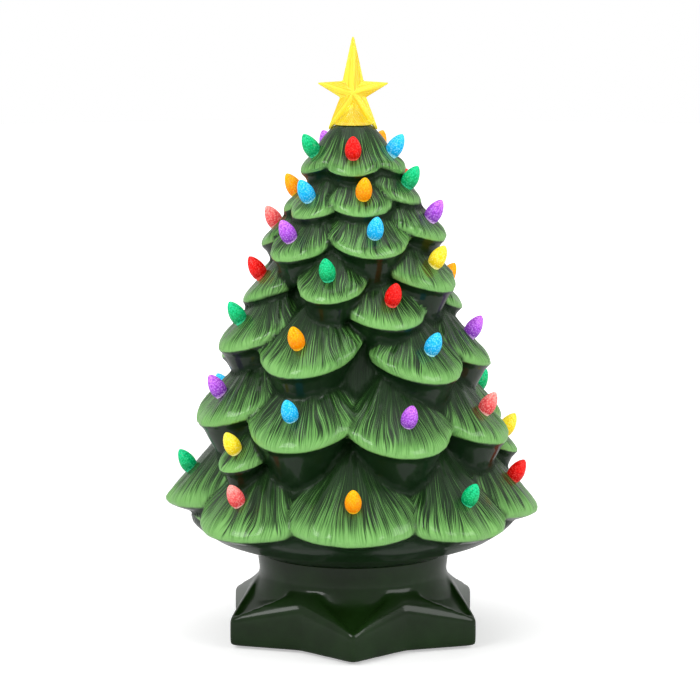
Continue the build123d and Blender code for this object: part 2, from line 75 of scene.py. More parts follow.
HOLLOW_MIDDLE_HEIGHT = 22
PLATE = 80
PLATE_FIT = 0.2
PLATE_TOP = 6.5
PLATE_LEDGE = 6
LIP_OUTER = 80
LIP_INNER = 76
LIP_TOP = 94
LIP_ROOT = 4
LIP_CHAMFER = 1
ROUND_STEPS = 96
CUT_SPARE = 20
SHARP_ANGLE = 38
BASE_CLOUDS = 28
BASE_DARK = (0.005, 0.017, 0.002)
BASE_LIGHT = (0.009, 0.030, 0.005)


def make_object(name, bm):
    """An object from a mesh as it is, such as a boolean's tool in millimetres."""
    mesh = bpy.data.meshes.new(name)
    bm.to_mesh(mesh)
    bm.free()
    made = bpy.data.objects.new(name, mesh)
    bpy.context.scene.collection.objects.link(made)
    return made


def make_piece(name, bm):
    """A piece in metres from a mesh built in millimetres."""
    bmesh.ops.scale(bm, vec=(MM, MM, MM), verts=bm.verts)
    return make_object(name, bm)


def take_mesh(tool):
    """The mesh of a passing object for more work, with the object cleared away."""
    bm = bmesh.new()
    bm.from_mesh(tool.data)
    bpy.data.meshes.remove(tool.data)
    return bm


def apply_modifiers(body):
    """Replaces a body's mesh by what its modifiers make of it."""
    depsgraph = bpy.context.evaluated_depsgraph_get()
    old = body.data
    body.data = bpy.data.meshes.new_from_object(body.evaluated_get(depsgraph))
    body.modifiers.clear()
    bpy.data.meshes.remove(old)


def combine(body, tools, operation):
    """Joins tools to a body or cuts them out of it, and clears the tools away."""
    group = bpy.data.collections.new("tools")
    bpy.context.scene.collection.children.link(group)
    for tool in tools:
        group.objects.link(tool)
    modifier = body.modifiers.new(operation.lower(), "BOOLEAN")
    modifier.operation = operation
    modifier.solver = "MANIFOLD"
    modifier.operand_type = "COLLECTION"
    modifier.collection = group
    apply_modifiers(body)
    for tool in tools:
        bpy.data.meshes.remove(tool.data)
    bpy.data.collections.remove(group)


def glaze_over(body, grain, passes):
    """Rebuilds a body in even faces and rounds its edges and creases, as glaze on a casting does."""
    remesh = body.modifiers.new("even", "REMESH")
    remesh.mode = "VOXEL"
    remesh.voxel_size = grain
    smooth = body.modifiers.new("round", "SMOOTH")
    smooth.factor = 0.5
    smooth.iterations = passes
    apply_modifiers(body)


def turned(outline, steps):
    """A closed form: an outline of (radius, height) points, spun round Z."""
    bm = bmesh.new()
    verts = [bm.verts.new((radius, 0, height)) for radius, height in outline]
    edges = [bm.edges.new(pair) for pair in zip(verts, verts[1:])]
    bmesh.ops.spin(
        bm, geom=verts + edges, cent=(0, 0, 0), axis=(0, 0, 1), angle=2 * pi, steps=steps, use_merge=True)
    bmesh.ops.remove_doubles(bm, verts=bm.verts, dist=0.0005)
    bmesh.ops.recalc_face_normals(bm, faces=bm.faces)
    return bm


def star_radius(vert, tip, valley):
    """The radius of a star's corner, tip or valley by turns, with one tip to the front."""
    corner = round((atan2(vert.co.y, vert.co.x) + pi / 2) / (pi / STAR_POINTS))
    return valley if corner % 2 else tip


def star_prism(tip, valley, bottom, tip_top, middle_top, saddle_drop):
    """A star block whose top falls from the middle to the tips, and by the saddle's drop to the valleys."""
    bm = bmesh.new()
    ring = bmesh.ops.create_circle(
        bm, cap_ends=True, segments=2 * STAR_POINTS, radius=1,
        matrix=Matrix.Rotation(-pi / 2, 4, "Z"))["verts"]
    for vert in ring:
        vert.co = vert.co.normalized() * star_radius(vert, tip, valley)
        vert.co.z = bottom
    raised = bmesh.ops.extrude_face_region(bm, geom=list(bm.faces))["geom"]
    lids = [item for item in raised if isinstance(item, bmesh.types.BMFace)]
    top = [item for item in raised if isinstance(item, bmesh.types.BMVert)]
    bmesh.ops.delete(bm, geom=lids, context="FACES_ONLY")

    top.sort(key=lambda vert: atan2(vert.co.y, vert.co.x))
    if star_radius(top[0], tip, valley) == tip:
        top.append(top.pop(0))
    valleys, tips = top[0::2], top[1::2]
    for vert in tips:
        vert.co.z = tip_top
    for vert in valleys:
        vert.co.z = middle_top - saddle_drop
    shoulders = []
    for vert, point, after in zip(valleys, tips, valleys[1:] + valleys[:1]):
        left, right = (
            bm.verts.new(vert.co.lerp(after.co, share)) for share in (SADDLE_SHARE, 1 - SADDLE_SHARE))
        left.co.z = right.co.z = middle_top
        for corners in ((vert, point, left), (left, point, right), (right, point, after)):
            bm.faces.new(corners)
        shoulders += [left, right]
    for place, vert in enumerate(valleys):
        bm.faces.new((shoulders[2 * place - 1], vert, shoulders[2 * place]))
    bm.faces.new(shoulders)
    bmesh.ops.recalc_face_normals(bm, faces=bm.faces)
    return bm


bm = star_prism(
    STAR_TIP + TIP_EXTRA, STAR_VALLEY + VALLEY_EXTRA, FOOT_TOP, STAR_TIP_HEIGHT + TIP_HEIGHT_EXTRA,
    STAR_MIDDLE_HEIGHT, SADDLE_DROP)
soft_edges = []
for edge in bm.edges:
    reach = max(vert.co.xy.length for vert in edge.verts)
    top = max(vert.co.z for vert in edge.verts)
    if reach > STAR_TIP and STAR_TIP_HEIGHT < top < STAR_MIDDLE_HEIGHT:
        soft_edges.append(edge)
bmesh.ops.bevel(
    bm, geom=soft_edges, offset=EDGE_ROUNDING, offset_type="OFFSET", affect="EDGES", segments=4, profile=0.5,
    material=-1)
panels = [face for face in bm.faces if 0.3 < face.normal.z < 0.97 and face.calc_area() > PANEL_LEAST_AREA]
bmesh.ops.inset_individual(bm, faces=panels, thickness=PANEL_BORDER, depth=-PANEL_DEPTH)
base = make_object("base", bm)
combine(base, [make_object("neck", turned(NECK_OUTLINE, ROUND_STEPS))], "UNION")
glaze_over(base, BASE_GRAIN, BASE_PASSES)

star_hollow = make_object("star_hollow", star_prism(
    HOLLOW_TIP, HOLLOW_VALLEY, FLOOR_TOP, HOLLOW_TIP_HEIGHT, HOLLOW_MIDDLE_HEIGHT, 0))
neck_hollow = make_object("neck_hollow", turned([
    (0, 0), (PLATE + PLATE_FIT, 0), (PLATE + PLATE_FIT, PLATE_TOP), (PLATE - PLATE_LEDGE, PLATE_TOP),
    (PLATE - PLATE_LEDGE, FLOOR_TOP), (NECK - BASE_WALL, FLOOR_TOP), (NECK - BASE_WALL, SEAT - BASE_WALL),
    (LIP_INNER, SEAT - BASE_WALL), (LIP_INNER, SEAT + CUT_SPARE), (0, SEAT + CUT_SPARE)], ROUND_STEPS))
crown = make_object("crown", turned([
    (0, SEAT), (NECK - SEAT_CHAMFER, SEAT), (NECK + 2 * SEAT_CHAMFER, SEAT - 3 * SEAT_CHAMFER),
    (NECK + CUT_SPARE, SEAT - 3 * SEAT_CHAMFER), (NECK + CUT_SPARE, SEAT + CUT_SPARE), (0, SEAT + CUT_SPARE)],
    ROUND_STEPS))
lip = make_object("lip", turned([
    (LIP_INNER, SEAT - LIP_ROOT), (LIP_OUTER, SEAT - LIP_ROOT), (LIP_OUTER, LIP_TOP - LIP_CHAMFER),
    (LIP_OUTER - LIP_CHAMFER, LIP_TOP), (LIP_INNER + LIP_CHAMFER, LIP_TOP), (LIP_INNER, LIP_TOP - LIP_CHAMFER),
    (LIP_INNER, SEAT - LIP_ROOT)], ROUND_STEPS))
combine(base, [star_hollow, neck_hollow, crown], "DIFFERENCE")
combine(base, [lip], "UNION")
star_base = make_piece("star_base", take_mesh(base))


def new_material(name):
    """A material and its main shader."""
    material = bpy.data.materials.new(name)
    material.use_nodes = True
    return material, material.node_tree.nodes["Principled BSDF"]


def feed(node, values):
    """Sets inputs of a node, each to a plain value or from another node's output."""
    for key, value in values.items():
        if isinstance(value, bpy.types.NodeSocket):
            node.id_data.links.new(value, node.inputs[key])
        else:
            node.inputs[key].default_value = value


def add_node(near, kind, values):
    """A new node in the tree that another node or socket belongs to, with its inputs fed."""
    node = near.id_data.nodes.new(kind)
    feed(node, values)
    return node


def own_space(near):
    """Places on a piece, in metres."""
    return add_node(near, "ShaderNodeTexCoord", {}).outputs["Object"]


def speckle(near, scale, detail=2):
    """Noise over a piece's own space, with about so many spots to the metre."""
    spots = add_node(near, "ShaderNodeTexNoise", {"Vector": own_space(near), "Scale": scale, "Detail": detail})
    return spots.outputs["Fac"]


def ramp(value, stops):
    """A colour that runs through stops of (place, colour)."""
    shades = add_node(value, "ShaderNodeValToRGB", {"Fac": value})
    elements = shades.color_ramp.elements
    for element, (place, colour) in zip(elements, (stops[0], stops[-1])):
        element.position = place
        element.color = (*colour, 1)
    for place, colour in stops[1:-1]:
        elements.new(place).color = (*colour, 1)
    return shades.outputs["Color"]


def dress(piece, material, node, body):
    """Gives a piece its finish, and puts it in its node's place on a body."""
    piece.data.materials.clear()
    piece.data.materials.append(material)
    piece.data.shade_smooth()
    piece.data.set_sharp_from_angle(angle=radians(SHARP_ANGLE))
    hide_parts(node)
    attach(piece, body)


base_glaze, shader = new_material("deep_green_glaze")
feed(shader, {
    "Base Color": ramp(speckle(shader, BASE_CLOUDS, 3), [(0.35, BASE_DARK), (0.7, BASE_LIGHT)]),
    "Roughness": 0.35, "Specular IOR Level": 0.05, "Coat Weight": 0.45, "Coat Roughness": 0.12})
dress(star_base, base_glaze, "base", "base_unit")

# Tree: a hollow slip-cast piece with nine rows of boughs, each pressed into the mould as a fan of needles.
# The dark glaze goes on first, the light green is dry-brushed from the rim up over the needle ribs, and a
# clear gloss covers it all. The inside is bare biscuit.
Toe = namedtuple("Toe", "width depth lean tilt")
Tier = namedtuple("Tier", "reach rim width rise bulb_share toe boughs")
CREST_RUN = 0.85
FLARE_WIDTH = 0.66
FLARE_HEIGHT = 0.35
APEX_WIDTH = 0.14
BULB_LEAN = 32
BULB_SINK = 1.4
TREE_TOP = 515
CAP = 15
MOUTH = 81
TREE_WALL = 5
SKIRT_EDGE = 128
TOP_EDGE = 474
TOP_RIM = 464
CORE = -1
INSIDE = -2
TUCKED = Toe(0.55, 0.80, 0.30, 20)
SKIRT = Toe(0.74, 0.18, -0.02, 8)
TIERS = [
    Tier(54, 380, 29, 45, 0.40, TUCKED, [
        (0, 0, "red"), (72, 0, "blue"), (144, 0, "amber"), (216, 0, "purple"), (288, 0, "green")]),
    Tier(71, 342, 34, 54, 0.32, TUCKED, [
        (10, 0, "amber"), (68, 8, "green"), (128, 0, "red"), (190, 0, "blue"), (255, -3, "amber"),
        (311, -4, "blue")]),
    Tier(95, 304, 40, 58, 0.33, TUCKED, [
        (15, 0, "blue"), (73, 11, "purple"), (135, 2, "yellow"), (195, -3, "green"), (252, 0, "pink"),
        (310, -6, "purple")]),
    Tier(111, 255, 44, 64, 0.37, TUCKED, [
        (24, -19, "red"), (60, 13, "yellow"), (100, -12, "amber"), (145, 2, "blue"), (188, -10, "purple"),
        (232, 8, "green"), (277, -2, "red")]),
    Tier(111, 262, 34, 56, 0.40, TUCKED, [(345, 0, "green")]),
    Tier(139, 193, 50, 72, 0.38, TUCKED, [
        (333, 0, "amber"), (40, -8, "blue"), (82, -2, "purple"), (128, 6, "red"), (172, -6, "yellow"),
        (215, 6, "blue"), (250, -4, "pink"), (289, 15, "green")]),
    Tier(163, 122, 55, 82, 0.34, TUCKED, [
        (335, 3, "blue"), (22, -2, "purple"), (67, -2, "pink"), (116, 2, "green"), (157, 0, "amber"),
        (202, 4, "red"), (246, -2, "blue"), (292, 15, "purple")]),
    Tier(166, 98, 28, 60, 0.30, TUCKED, [
        (311, 0, "yellow"), (92, 0, "yellow"), (180, 0, "green")]),
    Tier(187, 39, 72, 92, 0.33, SKIRT, [
        (0, 3, "amber"), (43, 0, "green"), (78, 7, "red"), (120, 4, "blue"), (160, 0, "pink"),
        (200, 6, "purple"), (236, 8, "yellow"), (272, 12, "green"), (317, -1, "pink")]),
]
CORE_OUTLINE = [
    (0, SEAT - 8), (NECK, SEAT - 8), (NECK, SEAT), (118, 95), (140, 103), (154, 112), (162, 119), (163.5, 122),
    (147, 154), (120, 206), (96, 278), (71, 345), (58, 405), (44, 440), (36.5, 462), (43.5, 470),
    (45.5, TOP_EDGE), (41, 483), (36, 492), (30, 501), (24.4, 507.5), (20, 512), (CAP, TREE_TOP), (0, TREE_TOP)]
HOLLOW_OUTLINE = [
    (0, SEAT - 12), (MOUTH, SEAT - 12), (MOUTH, SEAT + 5), (113, 100), (135, 108), (151, 117), (160, 124),
    (142, 154), (115, 206), (91, 278), (66, 345), (53, 405), (CAP - TREE_WALL, TREE_TOP - 2 * TREE_WALL),
    (0, TREE_TOP - 2 * TREE_WALL)]
# The slope of a bell in shares of its width and height with a lift in millimetres, then its rim in millimetres
BELL_SLOPE = [
    (0, 1, 0), (0.04, 0.985, 0), (0.09, 0.94, 0), (0.18, 0.86, 0), (0.28, 0.745, 0), (0.37, 0.635, 0),
    (0.46, 0.54, 0), (0.55, 0.455, 0), (0.64, 0.37, 0), (0.72, 0.30, 0.4), (0.79, 0.23, 1.1), (0.85, 0.165, 2),
    (0.90, 0.11, 2.8)]
BELL_RIM = [(-2.8, 6.4), (-1.1, 4.2), (-0.2, 1.8), (0, -0.4), (-0.8, -2.6), (-2.6, -4.4), (-5, -5.6)]
BELL_STEPS = 144
POCKET_STEPS = 24
HOLLOW_STEPS = 64
FOLD_PITCH = 14
FOLD_DEPTH = 18
FOLD_CLEARING = 16
WAVE_PITCH = 24
CRIMP_PITCH = 13
TREE_GRAIN = 2.8
TREE_PASSES = 3
BULB_HOLE = 3.2
BULB_HOLE_DEPTH = 18
BULB_HOLE_DROP = 6
PEG_HOLE = 5.3
PEG_HOLE_DEPTH = 40


class Bough:
    """Slanted frame of one bough: x runs outwards along its rim plane, z stands on that plane."""

    def __init__(self, index, row, tier, azimuth, lift, colour):
        self.index = index
        self.row = row
        self.width = tier.width
        self.bulb_share = tier.bulb_share
        self.toe = tier.toe
        self.colour = colour
        rim = tier.rim + SEAT + lift
        side = radians(azimuth)
        tilt = radians(self.toe.tilt)
        self.out = Vector((sin(side), -cos(side), 0))
        up = Vector((0, 0, 1))
        along = cos(tilt) * self.out - sin(tilt) * up
        normal = sin(tilt) * self.out + cos(tilt) * up
        centre = self.out * (tier.reach - self.width * cos(tilt)) + up * (rim + self.width * sin(tilt))
        apex = self.out * (tier.reach - CREST_RUN * tier.rise) + up * (rim + tier.rise) - centre
        self.height = apex.dot(normal)
        self.lean = apex.dot(along)
        self.matrix = Matrix.Translation(centre) @ Matrix(
            (along, normal.cross(along), normal)).transposed().to_4x4()

    def shift(self, height):
        """How far the ring at a height lies outwards of the rim's centre."""
        if height > 0:
            return self.lean * height / self.height
        return -self.toe.lean * height / self.toe.depth

    def seat(self):
        """Place and upright direction of the bulb's seat on the crest."""
        share = self.bulb_share
        flare = 1 - (1 - FLARE_WIDTH) * share / FLARE_HEIGHT
        taper = FLARE_WIDTH - (FLARE_WIDTH - APEX_WIDTH) * (share - FLARE_HEIGHT) / (1 - FLARE_HEIGHT)
        height = share * self.height
        crest = self.matrix @ Vector((self.shift(height) + self.width * max(flare, taper), 0, height))
        lean = radians(BULB_LEAN)
        upright = self.out * sin(lean) + Vector((0, 0, cos(lean)))
        return crest - upright * BULB_SINK, upright

    def bulb_matrix(self, drop):
        """Turns and moves a form that stands on the origin to the bulb's seat, or so far under it."""
        seat, upright = self.seat()
        lean = Vector((0, 0, 1)).rotation_difference(upright).to_matrix().to_4x4()
        return Matrix.Translation(seat - upright * drop) @ lean

    def place(self, bm):
        """Leans a turned form along the bough and puts it in its place on the tree."""
        for vert in bm.verts:
            vert.co.x += self.shift(vert.co.z)
        bmesh.ops.transform(bm, matrix=self.matrix, verts=bm.verts)


boughs = []
for row, tier in enumerate(TIERS):
    for azimuth, lift, colour in tier.boughs:
        boughs.append(Bough(len(boughs), row, tier, azimuth, lift, colour))


def ruffle(bm, bough):
    """Folds a bell's slope along its needles, waves its rim, and fills out its sides to a petal's shape."""
    width = bough.width
    for vert in bm.verts:
        radius = hypot(vert.co.x, vert.co.y)
        if radius < 1:
            continue
        share = radius / width
        arc = atan2(vert.co.y, vert.co.x) * width
        bend = 0.25 * noise.noise(Vector((share * 3, bough.index * 2.3, 0)))
        fold = abs(noise.noise(Vector((arc / FOLD_PITCH + bend, share * 0.8, bough.index * 7.3)))) - 0.2
        fold *= min(1, hypot(arc * share, radius - FLARE_WIDTH * width) / FOLD_CLEARING)
        wave = noise.noise(Vector((arc / WAVE_PITCH, 3.7, bough.index * 5.1)))
        crimp = noise.noise(Vector((arc / CRIMP_PITCH, 8.1, bough.index * 3.3)))
        if vert.co.z > -3:
            vert.co.z += FOLD_DEPTH * fold * min(1, 1.8 * share) * (1.25 - share)
        spread = 1 + (0.05 * wave + 0.015 * crimp) * share ** 2
        up = min(1, max(0, vert.co.z / bough.height))
        vert.co.x *= spread
        vert.co.y *= spread * (0.95 + 1.1 * up * (1 - up))
        vert.co.z += (6 * wave + 1.6 * crimp) * max(0, share - 0.45)


def marked(name, bm, owner):
    """An object whose faces carry the number of the bough they belong to."""
    layer = bm.faces.layers.int.new("bough")
    for face in bm.faces:
        face[layer] = owner
    return make_object(name, bm)


bells = []
pockets = []
for bough in boughs:
    width, height, toe = bough.width, bough.height, bough.toe
    outline = [(along * width, up * height + lift) for along, up, lift in BELL_SLOPE]
    outline += [(width + along, up) for along, up in BELL_RIM]
    under = Vector(outline[-1])
    foot = Vector((toe.width * width, -toe.depth * width))
    outline += [under.lerp(foot, share) for share in (0.25, 0.5, 0.75, 1)]
    outline.append((0, foot.y))
    bm = turned(outline, BELL_STEPS)
    ruffle(bm, bough)
    bough.place(bm)
    bells.append(marked("bell", bm, bough.index))
    crest = height - 2.4 * TREE_WALL
    bm = turned([
        (0, crest), (max(APEX_WIDTH * width - 0.6 * TREE_WALL, 1.5), crest),
        (FLARE_WIDTH * width - 0.8 * TREE_WALL, FLARE_HEIGHT * height - 1.2 * TREE_WALL),
        (width - 1.9 * TREE_WALL, 0), (foot.x - 1.3 * TREE_WALL, foot.y + 0.9 * TREE_WALL),
        (0, foot.y + 0.9 * TREE_WALL)], POCKET_STEPS)
    bough.place(bm)
    pockets.append(marked("pocket", bm, INSIDE))

tree = marked("tree", turned(CORE_OUTLINE, ROUND_STEPS), CORE)
combine(tree, bells, "UNION")
bm = bmesh.new()
bm.from_mesh(tree.data)
owner = bm.faces.layers.int["bough"]
bm.faces.ensure_lookup_table()
owners = [face[owner] for face in bm.faces]
nearest = BVHTree.FromBMesh(bm)
bm.free()
glaze_over(tree, TREE_GRAIN, TREE_PASSES)
bm = take_mesh(tree)
owner = bm.faces.layers.int.new("bough")
for face in bm.faces:
    face[owner] = owners[nearest.find_nearest(face.calc_center_median())[2]]
tree = make_object("tree", bm)

hollow = marked("hollow", turned(HOLLOW_OUTLINE, HOLLOW_STEPS), INSIDE)
combine(hollow, pockets, "UNION")
below = marked("below", turned([
    (0, SEAT - CUT_SPARE), (MOUTH + 2 * CUT_SPARE, SEAT - CUT_SPARE), (MOUTH + 2 * CUT_SPARE, SEAT), (0, SEAT)],
    ROUND_STEPS), CORE)
bm = bmesh.new()
for bough in boughs:
    bmesh.ops.create_cone(
        bm, cap_ends=True, segments=12, radius1=BULB_HOLE, radius2=BULB_HOLE, depth=BULB_HOLE_DEPTH,
        matrix=bough.bulb_matrix(BULB_HOLE_DROP))
bmesh.ops.create_cone(
    bm, cap_ends=True, segments=24, radius1=PEG_HOLE, radius2=PEG_HOLE, depth=PEG_HOLE_DEPTH,
    matrix=Matrix.Translation((0, 0, TREE_TOP)))
combine(tree, [hollow, below, marked("holes", bm, INSIDE)], "DIFFERENCE")

# The paint's guides on the casting: strokes that fan out from each bough's crest and rise from its rim, the
# creases where glaze pools and painted shade darkens it, the core painted dark between the boughs as shade,
# and the bare inside. The top row and the dome over it share one set of strokes.
DOME_FLOOR = TOP_EDGE - 10
TOP_STROKES = 60
TOP_BRUSH = 78
TOP_FAN = 45
CORE_FAN = 130
# The dark core's strokes start this far up: painted shade in the recesses between the boughs.
RECESS_SHADE_RISE = 0.45
CORE_FADE = 30
SAME_ROW_CREASE = 0.55
CREASE_PASSES = 4
STROKE_BEND = 7
bm = take_mesh(tree)
owner = bm.faces.layers.int["bough"]
brush = bm.loops.layers.float_vector.new("brush")
biscuit = bm.loops.layers.float.new("biscuit")
crease = bm.verts.layers.float.new("crease")


def row_of(side, spot):
    """The row that a bough belongs to; the dome counts as the top row, and the rest of the core as none."""
    if side != CORE:
        return boughs[side].row
    return 0 if spot.z > DOME_FLOOR else -1


# The crease: full where rows meet and low between top-row boughs, weaker between boughs of another row, then
# spread out; it guides the pooled glaze and the painted shade in the creases.
for vert in bm.verts:
    sides = {face[owner] for face in vert.link_faces if face[owner] != INSIDE}
    rows = {row_of(side, vert.co) for side in sides}
    if len(rows) > 1 or (len(sides) > 1 and rows == {0} and vert.co.z < TOP_EDGE - 1):
        vert[crease] = 1
    elif len(sides) > 1 and rows != {0}:
        vert[crease] = SAME_ROW_CREASE
for _ in range(CREASE_PASSES):
    level = {vert: sum(edge.other_vert(vert)[crease] for edge in vert.link_edges) for vert in bm.verts}
    for vert, total in level.items():
        vert[crease] = (vert[crease] + total) / (1 + len(vert.link_edges))


def core_stroke(spot):
    """The stroke on the core: from the dome's rim up, or from the skirt's edge, darkened there as painted
    shade.
    """
    on_dome = spot.z > DOME_FLOOR
    above = spot.z - (TOP_RIM if on_dome else SKIRT_EDGE)
    start = 0 if on_dome else RECESS_SHADE_RISE
    rise = min(1, start + above / TOP_BRUSH) if above > 0 else above / CORE_FADE
    return atan2(spot.x, -spot.y) * (TOP_FAN if on_dome else CORE_FAN), rise, TOP_STROKES


def bough_stroke(bough, spot, local):
    """The stroke on a bough, from a spot on the tree and the same spot in the bough's own frame."""
    rise = local.z / (bough.height if local.z > 0 else bough.width)
    if bough.row == 0 and rise > 0:
        above = spot.z - TOP_RIM
        rise = above / (TOP_BRUSH if above > 0 else bough.width)
        return atan2(spot.x, -spot.y) * TOP_FAN, rise, TOP_STROKES
    fan = atan2(local.y, local.x - bough.shift(local.z)) * bough.width
    fan += STROKE_BEND * noise.noise(Vector((fan / 20, 2.5 * rise, bough.index)))
    return fan, rise, TOP_STROKES if bough.row == 0 else bough.index


backs = [bough.matrix.inverted() for bough in boughs]
for face in bm.faces:
    side = face[owner]
    for loop in face.loops:
        spot = loop.vert.co
        loop[brush] = bough_stroke(boughs[side], spot, backs[side] @ spot) if side >= 0 else core_stroke(spot)
        loop[biscuit] = 1 if side == INSIDE else 0
tree = make_piece("tree", bm)

# The glaze itself: dark green, faint strokes on the upper slopes, the brushed light green with dark roots
# showing through, a pale rim with a painted highlight along it, pools of glaze darkened further as painted
# shade in the creases, and dark undersides.
STROKES_APART = 4.7
DARK_GREEN = (0.004, 0.021, 0.003, 1)
UPPER_GREEN = (0.055, 0.160, 0.036, 1)
BRUSHED_GREEN = (0.145, 0.38, 0.086, 1)
ROOT_GREEN = (0.009, 0.038, 0.006, 1)
PALE_AND_HIGHLIGHT_GREEN = (0.235, 0.54, 0.145, 1)
POOLED_AND_SHADED_GREEN = (0.005, 0.021, 0.004, 1)
UNDER_GREEN = (0.004, 0.018, 0.004, 1)
BISCUIT = (0.55, 0.53, 0.48, 1)


def attribute(near, name, output):
    """A value that the piece's mesh carries."""
    node = add_node(near, "ShaderNodeAttribute", {})
    node.attribute_name = name
    return node.outputs[output]


def axis(vector, name):
    """One axis of a vector."""
    return add_node(vector, "ShaderNodeSeparateXYZ", {"Vector": vector}).outputs[name]


def streaks(along, width, waves):
    """Noise drawn out along strokes: so many millimetres across, and so many waves to a unit of length."""
    scale = add_node(along, "ShaderNodeVectorMath", {})
    scale.operation = "MULTIPLY"
    feed(scale, {0: along, 1: (1 / width, waves, STROKES_APART)})
    grain = add_node(along, "ShaderNodeTexNoise", {
        "Vector": scale.outputs["Vector"], "Scale": 1, "Detail": 1.5, "Distortion": 0.5})
    return grain.outputs["Fac"]


def calc(operation, first, second):
    """One sum on two values, of which one at least is a socket."""
    near = first if isinstance(first, bpy.types.NodeSocket) else second
    step = add_node(near, "ShaderNodeMath", {})
    step.operation = operation
    feed(step, {0: first, 1: second})
    return step.outputs["Value"]


def between(value, low, high):
    """A smooth step from 0 at low to 1 at high."""
    step = add_node(value, "ShaderNodeMapRange", {"Value": value, "From Min": low, "From Max": high})
    step.interpolation_type = "SMOOTHSTEP"
    return step.outputs["Result"]


def lay(below, above, mask):
    """One coat of colour over another, where the mask says."""
    mix = add_node(mask, "ShaderNodeMix", {})
    mix.data_type = "RGBA"
    feed(mix, {0: mask, 6: below, 7: above})
    return mix.outputs[2]


def bump(shader, height, strength, distance):
    """Raises the skin of a finish by a height, over a distance in metres."""
    relief = add_node(shader, "ShaderNodeBump", {"Height": height, "Strength": strength, "Distance": distance})
    feed(shader, {"Normal": relief.outputs["Normal"]})


tree_glaze, shader = new_material("brushed_green_glaze")
strokes = attribute(shader, "brush", "Vector")
rise = axis(strokes, "Y")
# Glaze pooled in the creases, with painted shade there; the coat is thinned where it lies.
pooled_glaze_and_crease_shade = between(attribute(shader, "crease", "Fac"), 0.06, 0.30)
hairs = streaks(strokes, 0.75, 1.5)
needles = streaks(strokes, 1.6, 1.1)
clumps = streaks(strokes, 7, 0.8)
dark_needles = streaks(strokes, 0.8, 2.2)
faint_needles = streaks(strokes, 0.9, 2.4)
broad = between(needles, 0.3, 0.7)
bristle = calc("ADD", calc("MULTIPLY", between(hairs, 0.40, 0.78), 0.42), calc("MULTIPLY", broad, 0.14))
bristle = calc("ADD", bristle, calc("MULTIPLY", between(clumps, 0.3, 0.7), 0.2))
brushed = between(calc("SUBTRACT", bristle, rise), -0.06, 0.10)
# The palest green on the rim: partly the brush's lightest coat, partly a painted highlight along the rounded
# rim.
pale_rim_and_highlight = between(calc("SUBTRACT", calc("MULTIPLY", broad, 0.17), rise), -0.055, 0.06)
root = calc("MULTIPLY", between(dark_needles, 0.50, 0.62), between(rise, 0.08, 0.2))
upper = calc("MULTIPLY", between(faint_needles, 0.48, 0.66), between(calc("SUBTRACT", 1, rise), 0.05, 0.7))
ragged = calc("MULTIPLY", calc("SUBTRACT", clumps, 0.5), 0.02)
underside = between(calc("ADD", rise, ragged), -0.035, -0.07)
colour = lay(DARK_GREEN, UPPER_GREEN, calc("MULTIPLY", upper, 0.8))
colour = lay(colour, BRUSHED_GREEN, brushed)
colour = lay(colour, ROOT_GREEN, calc("MULTIPLY", root, 0.85))
# Pale rim: brushed light green with a painted highlight.
colour = lay(colour, PALE_AND_HIGHLIGHT_GREEN, pale_rim_and_highlight)
# Pooled glaze, darkened further as painted shade in the creases.
colour = lay(colour, POOLED_AND_SHADED_GREEN, pooled_glaze_and_crease_shade)
colour = lay(colour, UNDER_GREEN, underside)
colour = lay(colour, BISCUIT, attribute(shader, "biscuit", "Fac"))
feed(shader, {
    "Base Color": colour, "Specular IOR Level": 0.1, "Roughness": 0.4,
    "Coat Weight": calc("SUBTRACT", 0.5, calc("MULTIPLY", pooled_glaze_and_crease_shade, 0.44)),
    "Coat Roughness": calc("SUBTRACT", 0.16, calc("MULTIPLY", underside, 0.1))})
ribs = calc("ADD", needles, calc("MULTIPLY", hairs, 0.4))
bump(shader, calc("MULTIPLY", ribs, calc("SUBTRACT", 1, underside)), 0.7, 0.002)
dress(tree, tree_glaze, "tree_shell", "tree")

# Bulbs: tinted clear plastic, moulded with a pebbled skin, each with a collar that stands on the glaze and a
# stem cemented into the bough. The lamp inside the tree lights them through their stems, so they glow; the glow
# is painted in as emission of their own colour. Each colour of that painted glow is given at the edge, in the
# depth over the collar, in the body and at the tip.
BULB_COLOURS = {
    "red": ((0.90, 0.09, 0.07), (0.42, 0.001, 0.001), (0.72, 0.003, 0.002), (0.85, 0.012, 0.010)),
    "green": ((0.05, 0.68, 0.35), (0.0, 0.18, 0.055), (0.0, 0.42, 0.13), (0.004, 0.58, 0.23)),
    "blue": ((0.36, 0.82, 0.92), (0.002, 0.24, 0.48), (0.006, 0.42, 0.80), (0.02, 0.56, 0.90)),
    "yellow": ((0.96, 0.86, 0.30), (0.58, 0.42, 0.008), (0.86, 0.66, 0.014), (0.90, 0.76, 0.05)),
    "amber": ((0.95, 0.52, 0.02), (0.70, 0.17, 0.0), (0.80, 0.28, 0.0), (0.88, 0.45, 0.001)),
    "purple": ((0.74, 0.46, 0.92), (0.15, 0.032, 0.32), (0.36, 0.065, 0.62), (0.60, 0.15, 0.80)),
    "pink": ((0.95, 0.52, 0.47), (0.52, 0.035, 0.042), (0.72, 0.085, 0.085), (0.86, 0.33, 0.29)),
}
STEM = 3
STEM_LENGTH = 9
COLLAR = 6
COLLAR_SINK = 0.8
BULB_FOOT = Vector((6.5, 0, 1.4))
BULB_BELLY = Vector((8.1, 0, 8.8))
BULB_TIP = Vector((0, 0, 24.6))
BULB_STEPS = 26
PEBBLES = 560
BULB_GLOW = 0.5
flank = interpolate_bezier(BULB_FOOT, Vector((7.5, 0, 2)), Vector((8.1, 0, 5.4)), BULB_BELLY, 6)
flank += interpolate_bezier(BULB_BELLY, Vector((8.1, 0, 14.4)), Vector((3.9, 0, 23.6)), BULB_TIP, 14)[1:]
